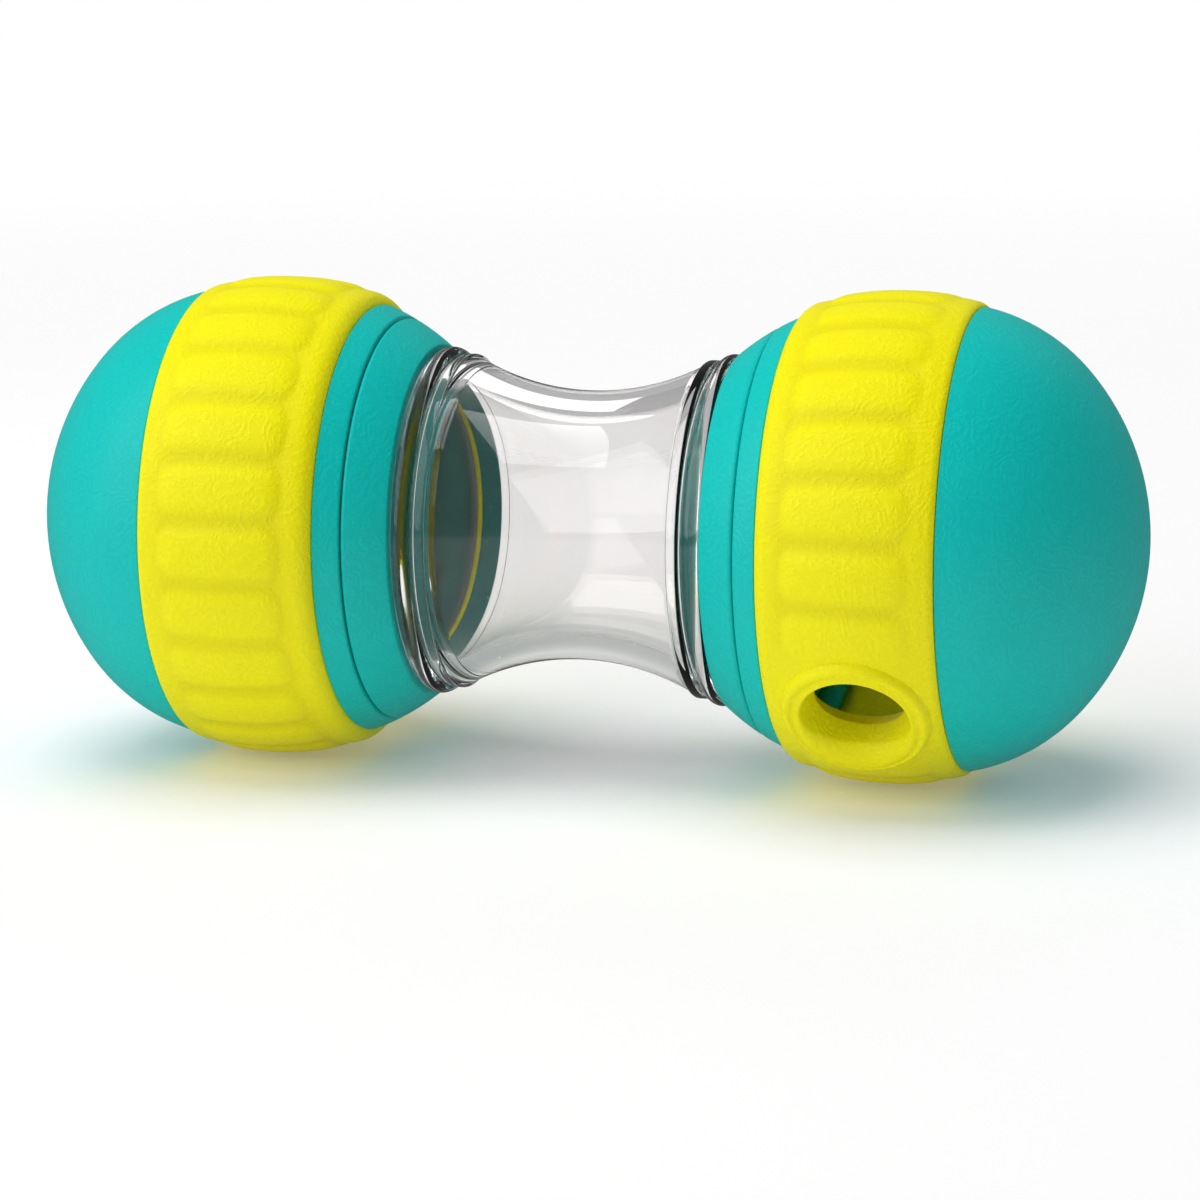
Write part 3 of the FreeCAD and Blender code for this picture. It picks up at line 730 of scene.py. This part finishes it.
# %% [markdown]
# The tread's skin starts smooth: rounded edges, a crowned middle, and a raised rim round the
# outlet. The rim blends into the crown, as moulded rubber does, so two heights are joined by
# a smooth maximum, and a faint hollow runs round its top. A turned lip set on the crown would
# show a hard line. The upper lip of the outlet turns in sharply, and the lower lip is a wide
# flare down which treats slide, so the lip's size follows the direction.

# %% Tread sizes and surfaces
TREAD = mm(crest_r=39.985, crown_r=47.5, bore_r=34.4, inner_edge_r=35.5, outer_edge_r=37.55,
           inner_width=2.4, outer_width=1.29, inner_round=3.2, outer_round=1.9,
           inner_lip=3.6, outer_lip=2.2, fine_zone=3.0, skin_drop=0.28, trough=0.66,
           slope_in=4.0, slope_out=4.6, valley=0.85, rib_r=22.0, flank=3.3, flank_drop=0.95,
           crossing=0.3, rib_gap=0.3, rib_in=3.4, rib_out=4.4, rib_fade=1.2)
TREAD_HALF_WINDOW = 1.25 * RIB_PITCH
WIDEST_X = RING_CENTRE + 1.85 * MM
OUTLET = mm(throat_r=7.3, core_r=8.3, top=39.4, crest_r=9.15, foot_r=12.1, rim_drop=1.6,
            hollow=0.22, blend=0.6, round_in=0.45, round_down=0.5, low_crest=2.1, low_in=3.5,
            low_down=3.3)
RIM_SPLIT = 0.4
LIP_TURN = math.radians(66)


def skin_radius(x):
    """Radius of the smooth skin at x, which lies a little below the ribs' crown."""
    across = np.asarray(x) - WIDEST_X
    lift = np.sqrt((TREAD["crown_r"] - TREAD["skin_drop"]) ** 2 - across ** 2)
    return TREAD["crest_r"] - TREAD["crown_r"] + lift


def smooth_max(a, b):
    """The larger of two heights, with their crossing rounded."""
    reach = OUTLET["blend"]
    blend = np.clip(0.5 + 0.5 * (a - b) / reach, 0, 1)
    return b + (a - b) * blend + reach * blend * (1 - blend)


def lip(direction):
    """Crest radius, and the inward and downward size of the lip, for each direction."""
    low = np.clip(direction[:, 1], 0, 1) ** 1.5
    return (OUTLET["crest_r"] + OUTLET["low_crest"] * low,
            OUTLET["round_in"] + OUTLET["low_in"] * low,
            OUTLET["round_down"] + OUTLET["low_down"] * low)


print("lip from its top to its foot:", lip(np.array([[0.0, -1.0], [0.0, 1.0]]))[1] / MM, "mm")


# %% Loops of the tread's outlet
def up_rim(share):
    """From the foot of the raised rim (0) to its crest (1)."""
    def station(plan, inner_plan, direction):
        foot = OUTLET["foot_r"]
        spots = direction * (foot + (lip(direction)[0] - foot) * share)[:, None]
        outward = max(0.0, 1 - share / RIM_SPLIT)
        inward = max(0.0, (share - RIM_SPLIT) / (1 - RIM_SPLIT))
        drop = (OUTLET["rim_drop"] * (1 - math.sqrt(1 - outward ** 2))
                + OUTLET["hollow"] * math.sin(math.pi * inward) ** 2)
        return raised(spots, smooth_max(OUTLET["top"] - drop, height_on(skin_radius, spots)))
    return station


def over_lip(angle):
    """Over the lip's rounding, at that angle from its crest."""
    def station(plan, inner_plan, direction):
        crest, inward, down = lip(direction)
        on_skin = height_on(skin_radius, direction * crest[:, None])
        return raised(direction * (crest - inward * math.sin(angle))[:, None],
                      smooth_max(OUTLET["top"], on_skin) - down * (1 - math.cos(angle)))
    return station


def in_funnel(share):
    """From the end of the lip's rounding (0) to the bore (1)."""
    def station(plan, inner_plan, direction):
        start = over_lip(LIP_TURN)(plan, inner_plan, direction)
        circle = direction * OUTLET["throat_r"]
        return start + (raised(circle, height_on(TREAD["bore_r"], circle)) - start) * share
    return station


TREAD_LOOPS = (
    [on_surface(skin_radius, OUTLET["foot_r"], share) for share in (0.3, 0.6, 0.85, 1.0)]
    + [up_rim(share) for share in np.linspace(0, 1, 15)[1:]]
    + [over_lip(angle) for angle in np.linspace(0, LIP_TURN, 12)[1:]]
    + [in_funnel(share) for share in (0.05, 0.2, 0.4, 0.6, 0.8, 0.95, 1.0)]
    + [on_surface(TREAD["bore_r"], OUTLET["throat_r"], share, from_bore=True)
       for share in (0.9, 0.5)])
print("the outlet has", len(TREAD_LOOPS), "loops")


# %% Tread without ribs
def ring_angles(per_rib=20):
    """Columns round the ring, closer together at the valleys, which lie at whole pitches."""
    share = np.linspace(-1, 1, per_rib, endpoint=False)
    offset = 0.5 + 0.5 * (0.55 * share + 0.45 * np.sin(share * math.pi / 2))
    ribs = np.arange(RIB_COUNT) - RIB_COUNT // 2
    return ((ribs[:, None] + offset[None, :]) * RIB_PITCH).ravel()


def tread_outline():
    """Closed outline of the tread, with the rows of its two windows."""
    inner_end, outer_end = RING_START + TREAD["inner_width"], RING_END - TREAD["outer_width"]
    fine_in = RING_START + TREAD["inner_lip"] + TREAD["fine_zone"]
    fine_out = RING_END - TREAD["outer_lip"] - TREAD["fine_zone"]
    skin_x = np.concatenate([np.linspace(inner_end, fine_in, 28)[:-1],
                             np.linspace(fine_in, fine_out, 20)[:-1],
                             np.linspace(fine_out, outer_end, 24)])
    skin = [(x, float(skin_radius(x))) for x in skin_x]
    edge_in = arc_between((RING_START, TREAD["inner_edge_r"]), skin[0], TREAD["inner_round"], 8)
    edge_out = arc_between(skin[-1], (RING_END, TREAD["outer_edge_r"]), TREAD["outer_round"], 8)
    bore = [(x, TREAD["bore_r"]) for x, r in reversed(skin)]
    outline = (edge_in[:-1] + skin + edge_out[1:] + [(RING_END, TREAD["bore_r"])] + bore
               + [(RING_START, TREAD["bore_r"])])
    outer_first = len(edge_in) - 1
    bore_first = outer_first + len(skin) + len(edge_out)
    return (outline, (outer_first, outer_first + len(skin) - 1),
            (bore_first, bore_first + len(skin) - 1))


tread_points, tread_faces = pierced_ring(*tread_outline(), ring_angles(), TREAD_HALF_WINDOW,
                                         TREAD_LOOPS)
print("tread grid:", len(tread_points), "points,", len(tread_faces), "faces")


# %% [markdown]
# The tread's 24 ribs give it grip. Ribs modelled one by one and joined would need a blend at
# each end and each valley. They follow a rule, so a geometry node tree raises them. For each
# point it works out the height of the nearest rib's round section, and that of the trough
# between the lips, and keeps the higher one with a soft crossing. Round the outlet both give
# way to the smooth crown. A point attribute says how far the rule applies, and another keeps
# how deep each point lies, which paints shade into the rubber's colour there.

# %% Heights of the trough and the ribs
SADDLE_FADE = 0.10
SLOPE_BEFORE, SLOPE_AFTER = 0.35, 0.65
SINK_FULL, SINK_NONE = 0.62, 0.80
END_DEPTH = 1.05


def trough_radius(given, x, turn, skin):
    """The trough between the lips, which a saddle fills near the outlet."""
    half, slope = given["Saddle half angle"], given["Start slope"]
    saddle = 1 - turn.between(half - SADDLE_FADE, half)
    start, end = given["Trough start"], given["Trough end"]
    fall = (x.between(start - slope * SLOPE_BEFORE, start + slope * SLOPE_AFTER)
            * (1 - x.between(end - given["End slope"], end)))
    depth = given["Trough depth"] - given["Skin drop"]
    return skin - given["Skin drop"] - depth * fall * (1 - saddle)


def rib_radius(given, x, angle, turn, skin):
    """The round ribs, with softened valleys, faded ends, and sunk near the outlet."""
    crest, depth = given["Crest radius"], given["Trough depth"]
    # Angle to the nearest rib, with the turn at the valley rounded off.
    pitch = 2 * math.pi / given["Rib count"]
    near = angle - pitch * ((angle / pitch).math("FLOOR") + 0.5)
    to_valley = pitch * 0.5 - near.math("ABSOLUTE")
    soft = given["Valley softness"] / crest
    from_valley = (to_valley * to_valley + soft * soft) ** 0.5
    lean = pitch * 0.5 - from_valley
    flank = (1 - from_valley * crest / given["Flank width"]).math("MAXIMUM", 0.0)
    # Each end of a rib rises softly out of the trough, from slightly below its floor.
    start = given["Trough start"] + given["Rib gap"]
    stop = given["Trough end"] - given["Rib gap"]
    rise = (((x - start) / given["Rib start length"])
            .math("MINIMUM", (stop - x) / given["Rib end length"])
            .math("MAXIMUM", 0.0).math("MINIMUM", 1.0))
    half = given["Saddle half angle"]
    sunk = 1 - turn.between(half * SINK_FULL, half * SINK_NONE)
    drop = (depth * END_DEPTH * (1 - rise) * (1 - rise) + given["Flank drop"] * flank * flank
            + depth * sunk)
    # The rib's round section has its centre at radius low.
    low = crest - given["Rib section"]
    section = skin - low - drop
    arm = low * lean.math("SINE")
    return low * lean.math("COSINE") + (section * section - arm * arm) ** 0.5


# %% Rib rule
RIB_VALUES = {"Crest radius": TREAD["crest_r"], "Crown radius": TREAD["crown_r"],
              "Widest place": WIDEST_X, "Rib section": TREAD["rib_r"],
              "Valley softness": TREAD["valley"], "Flank width": TREAD["flank"],
              "Flank drop": TREAD["flank_drop"], "Skin drop": TREAD["skin_drop"],
              "Trough start": RING_START + TREAD["inner_lip"],
              "Trough end": RING_END - TREAD["outer_lip"], "Trough depth": TREAD["trough"],
              "Start slope": TREAD["slope_in"], "End slope": TREAD["slope_out"],
              "Crossing softness": TREAD["crossing"],
              "Rib gap": TREAD["rib_gap"], "Rib start length": TREAD["rib_in"],
              "Rib end length": TREAD["rib_out"], "Saddle half angle": 1.5 * RIB_PITCH}


def tread_tree():
    tree, bench, given = geometry_tree("tread_ribs", "Rib count", RIB_VALUES)
    place = bench.node("GeometryNodeInputPosition")
    x, y, z = bench.split(place)
    angle = y.math("ARCTAN2", z * -1)
    turn = angle.math("ABSOLUTE")
    across = x - given["Widest place"]
    skin = (given["Crest radius"] - given["Crown radius"]
            + (given["Crown radius"] ** 2 - across * across) ** 0.5)
    trough = trough_radius(given, x, turn, skin)
    ribbed = rib_radius(given, x, angle, turn, skin).math("SMOOTH_MAX", trough,
                                                          given["Crossing softness"])
    applied = bench.node("GeometryNodeInputNamedAttribute", {"data_type": "FLOAT"},
                         {"Name": "ribbed"})
    scale = 1 + (ribbed / (skin - given["Skin drop"]) - 1) * applied
    wide = bench.node("ShaderNodeCombineXYZ", {}, {"X": 1.0, "Y": scale, "Z": scale})
    moved = bench.node("ShaderNodeVectorMath", {"operation": "MULTIPLY"}, {0: place, 1: wide},
                       out="Vector")
    # How deep each point lies, kept to paint shade into the rubber's valleys.
    hollow = ((skin - ribbed) / given["Trough depth"] * applied).between(0.15, 1.1)
    marked = bench.node("GeometryNodeStoreNamedAttribute",
                        {"data_type": "FLOAT", "domain": "POINT"},
                        {"Geometry": given["Geometry"], "Name": "hollow", "Value": hollow})
    shaped = bench.node("GeometryNodeSetPosition", {}, {"Geometry": marked, "Position": moved})
    close_tree(bench, shaped, given["Material"])
    return tree


def ribbed_share(points):
    """1 on the open crown, 0 on the edges, in the bore and on the outlet's rim."""
    x, y, z = points.T
    on_skin = np.abs(np.hypot(y, z) - skin_radius(x)) < 0.02 * MM
    from_hole = np.where(z > 0, 1.0, np.hypot(x - OUTLET_X, y))
    faded = np.clip((from_hole - OUTLET["foot_r"]) / TREAD["rib_fade"], 0, 1)
    return np.where(on_skin, faded, 0.0)


TREAD_TREE = tread_tree()
print("tread tree:", len(TREAD_TREE.nodes), "nodes")


# %% Treads
def vertex_places(mesh):
    return np.array([vertex.co for vertex in mesh.vertices])


def mark_points(mesh, name, values):
    mesh.attributes.new(name, "FLOAT", "POINT").data.foreach_set("value", values)


pattern = mesh_object("tread_pattern", tread_points, tread_faces, 50)
mark_points(pattern.data, "ribbed", ribbed_share(vertex_places(pattern.data)))
run_tree(pattern, TREAD_TREE, {"Rib count": RIB_COUNT, "Material": YELLOW_RUBBER, **RIB_VALUES})
pattern_points = vertex_places(pattern.data)
pattern_faces = [tuple(face.vertices) for face in pattern.data.polygons]
# The depths kept for the painted shade in the rubber's valleys.
valley_shade_amounts = [item.value for item in pattern.data.attributes["hollow"].data]
bpy.data.objects.remove(pattern)
for side in SIDES:
    tread = mesh_object(f"{side}_tread_skin", placed(pattern_points, side, OUTLET_TURN),
                        pattern_faces, 50)
    mark_points(tread.data, "hollow", valley_shade_amounts)
    tread.data.materials.append(YELLOW_RUBBER)
    print(tread.name, len(pattern_faces), "faces")

# %% [markdown]
# The core ring under the tread is rigid yellow plastic. Only its hole shows, deep in the
# outlet, where a fine line between tread and core circles the funnel. A plain turned ring
# would shut the outlet, so it is pierced in the same way as the tread.

# %% Core ring
CORE_COLUMNS, CORE_ROWS, CORE_HALF_WINDOW = 240, 19, math.radians(16.5)


def in_hole(depth, hole_r):
    """A loop in the core's hole, from its outside (0) to its bore (1)."""
    def station(plan, inner_plan, direction):
        spots = direction * hole_r
        top, bottom = height_on(CORE["outer_r"], spots), height_on(CORE["bore_r"], spots)
        return raised(spots, top + (bottom - top) * depth)
    return station


def core_loops():
    hole, edge = OUTLET["core_r"], OUTLET["core_r"] + CORE["edge"]
    chamfer = OUTLET["core_r"] + CORE["chamfer"]
    return ([on_surface(CORE["outer_r"], chamfer, share) for share in (0.3, 0.6, 0.9, 1.0)]
            + [in_hole(0.04, edge), in_hole(0.12, hole), in_hole(0.5, hole),
               in_hole(0.88, hole), in_hole(0.96, edge)]
            + [on_surface(CORE["bore_r"], chamfer, share, from_bore=True)
               for share in (1.0, 0.9, 0.6, 0.3)])


def core_ring(side):
    window = OUTLET_X + np.linspace(-1, 1, CORE_ROWS) * CORE["window"]
    outline = ([(RING_START, CORE["outer_r"])] + [(x, CORE["outer_r"]) for x in window]
               + [(CORE_END, CORE["outer_r"]), (CORE_END, CORE["bore_r"])]
               + [(x, CORE["bore_r"]) for x in reversed(window)] + [(RING_START, CORE["bore_r"])])
    angles = np.linspace(-math.pi, math.pi, CORE_COLUMNS, endpoint=False)
    points, faces = pierced_ring(outline, (1, CORE_ROWS), (CORE_ROWS + 3, 2 * CORE_ROWS + 2),
                                 angles, CORE_HALF_WINDOW, core_loops())
    ring = mesh_object(f"{side}_core_sleeve", placed(points, side, OUTLET_TURN), faces)
    ring.data.materials.append(YELLOW_PLASTIC)
    return ring


for side in SIDES:
    core = core_ring(side)
    print(core.name, len(core.data.polygons), "faces")

# %% [markdown]
# Every piece now rides on the body that carries it, and the CAD node it stands for is hidden.
# The ball's pieces turn together, the seal stays on the tube's end and is dragged round with the
# ball, and the lugs and the mouth's rings are parts of a node that another piece already replaces.

# %% Bodies
def assign(name, body, node=None):
    piece = bpy.data.objects[name]
    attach(piece, body)
    if node:
        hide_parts(node)


assign(tube.name, "tube", "viewing_tube")
for side in SIDES:
    ball = f"{side}_ball"
    assign(f"{side}_spigot_lugs", "tube")
    assign(f"{side}_mouth_funnel", "tube")
    assign(f"{side}_mouth_edge", "tube")
    assign(f"{side}_seal_ring", f"{side}_seal", f"{side}_neck_seal")
    assign(f"{side}_collar_lugs", ball)
    assign(f"{side}_collar_skin", ball, f"{side}_neck_collar")
    assign(f"{side}_shell_skin", ball, f"{side}_inner_shell")
    assign(f"{side}_core_sleeve", ball, f"{side}_core_ring")
    assign(f"{side}_tread_skin", ball, f"{side}_tread_ring")
    assign(f"{side}_dome_skin", ball, f"{side}_end_dome")

# %% [markdown]
# The stage is a pale floor that fades into a white background. The floor could be a curved
# sheet that runs up behind the toy, but its bend would show as a band in the clear tube. It is
# a flat sheet whose alpha fades out instead, and glossy rays don't see it. The background is
# white to the eye, much greyer as a light source and in the glossy skins, and brighter again
# for reflections inside the clear wall, so the tube keeps both dark lines and highlights.

# %% Floor and background
FLOOR_HALF, FADE_START, FADE_END = 1.6, 0.40, 1.00
WHITE = (1.0, 1.0, 1.0, 1)
WORLD_LIGHT, WORLD_GLOSS, CLEAR_GLOSS = 0.20, 0.14, 0.50


def floor():
    h = FLOOR_HALF
    mesh = bpy.data.meshes.new("studio_floor")
    mesh.from_pydata([(-h, -h, 0), (h, -h, 0), (h, h, 0), (-h, h, 0)], [], [(0, 1, 2, 3)])
    thing = linked("studio_floor", mesh)
    material, bench, shader, place = new_material("pale_floor")
    tone = bench.mix_colour(bench.noise(place, 3.0, 2.0), (0.85, 0.85, 0.85, 1),
                            (0.87, 0.87, 0.87, 1))
    away = bench.node("ShaderNodeVectorMath", {"operation": "LENGTH"}, {0: place}, out="Value")
    bench.fill(shader, {"Base Color": tone, "Alpha": 1 - away.between(FADE_START, FADE_END),
                        "Roughness": 0.75, "Specular IOR Level": 0.15,
                        "Emission Color": WHITE, "Emission Strength": 0.14})
    mesh.materials.append(material)
    thing.visible_glossy = False


def background():
    world = bpy.data.worlds.new("pale_studio")
    world.use_nodes = True
    bench = Bench(world.node_tree)

    def ray(output):
        return bench.node("ShaderNodeLightPath", out=output)

    mirrored = ray("Glossy Depth").math("MINIMUM", 1.0)
    inside = ray("Transmission Depth").math("MINIMUM", 1.0)
    seen = ray("Is Camera Ray").math("MAXIMUM", ray("Is Transmission Ray")) * (1 - mirrored)
    strength = (WORLD_LIGHT + seen * (1.0 - WORLD_LIGHT)
                + mirrored * (WORLD_GLOSS - WORLD_LIGHT + inside * (CLEAR_GLOSS - WORLD_GLOSS)))
    bench.fill(world.node_tree.nodes["Background"], {"Color": WHITE, "Strength": strength})
    bpy.context.scene.world = world


floor()
background()
print("world strength:", WORLD_LIGHT, "as light,", WORLD_GLOSS, "in gloss,", CLEAR_GLOSS,
      "inside the clear wall")

# %% [markdown]
# Three soft panels light the toy. The overhead one gives the broad shadow below it, and a
# large key panel at the front left makes the sides that face left brighter than those that
# face right. Only the key panel is mirrored in the skins: reflections of the other two would
# draw hard white shapes on the clear tube that the photograph doesn't have.

# %% Light panels
MIDDLE = (0.0, 0.0, AXIS_Z)


def panel(name, place, size, share, mirrored):
    """A soft panel that lights a facing surface at the toy with that share of full white."""
    light = bpy.data.lights.new(name, "AREA")
    light.shape, light.size, light.size_y = "RECTANGLE", size[0], size[1]
    reach = Vector(MIDDLE) - Vector(place)
    light.energy = share * math.pi ** 2 * reach.length_squared
    thing = linked(name, light)
    thing.location = place
    thing.rotation_euler = reach.to_track_quat("-Z", "Y").to_euler()
    thing.visible_glossy = mirrored
    print(name, round(light.energy, 1), "W")


panel("overhead_panel", (-0.25, 0.05, 1.7), (1.5, 1.3), 0.72, mirrored=False)
panel("front_left_panel", (-1.05, -1.10, 0.95), (2.4, 1.9), 0.64, mirrored=True)
panel("back_panel", (0.1, 1.1, 0.6), (1.2, 0.5), 0.12, mirrored=False)

# %% [markdown]
# The camera follows the photograph: 15.5 degrees to the right of square, 10 degrees above the
# axis, rolled by a little over half a degree, and 75 cm away with a long lens. Aiming it off
# the middle keeps the toy's middle at its place in the picture.

# %% Camera
VIEW_YAW, VIEW_PITCH, VIEW_ROLL = math.radians(-15.5), math.radians(10.0), math.radians(-0.6)
VIEW_DISTANCE = 0.747
FOCAL_PIXELS, IMAGE_PIXELS = 4530.0, 1200.0
MIDDLE_PIXEL = (589.0, 525.0)


def photo_camera():
    forward = Vector((math.sin(VIEW_YAW) * math.cos(VIEW_PITCH),
                      math.cos(VIEW_YAW) * math.cos(VIEW_PITCH), -math.sin(VIEW_PITCH)))
    level = Vector((math.cos(VIEW_YAW), -math.sin(VIEW_YAW), 0))
    right = level * math.cos(VIEW_ROLL) + level.cross(forward) * math.sin(VIEW_ROLL)
    up = right.cross(forward)
    pixel = VIEW_DISTANCE / FOCAL_PIXELS
    offset = (right * (IMAGE_PIXELS / 2 - MIDDLE_PIXEL[0]) * pixel
              - up * (IMAGE_PIXELS / 2 - MIDDLE_PIXEL[1]) * pixel)
    data = bpy.data.cameras.new("photo_view")
    data.sensor_width = 36.0
    data.lens = FOCAL_PIXELS * data.sensor_width / IMAGE_PIXELS
    data.clip_start, data.clip_end = 0.05, 50.0
    camera = linked("photo_view", data)
    camera.location = Vector(MIDDLE) - forward * VIEW_DISTANCE
    look = Vector(MIDDLE) + offset - camera.location
    aim = look.to_track_quat("-Z", "Y") @ Quaternion((0, 0, 1), VIEW_ROLL)
    camera.rotation_euler = aim.to_euler()
    return camera


bpy.context.scene.camera = photo_camera()
bpy.context.scene.view_settings.view_transform = "Standard"
print("camera at", [round(v, 3) for v in bpy.context.scene.camera.location])

# %% [markdown]
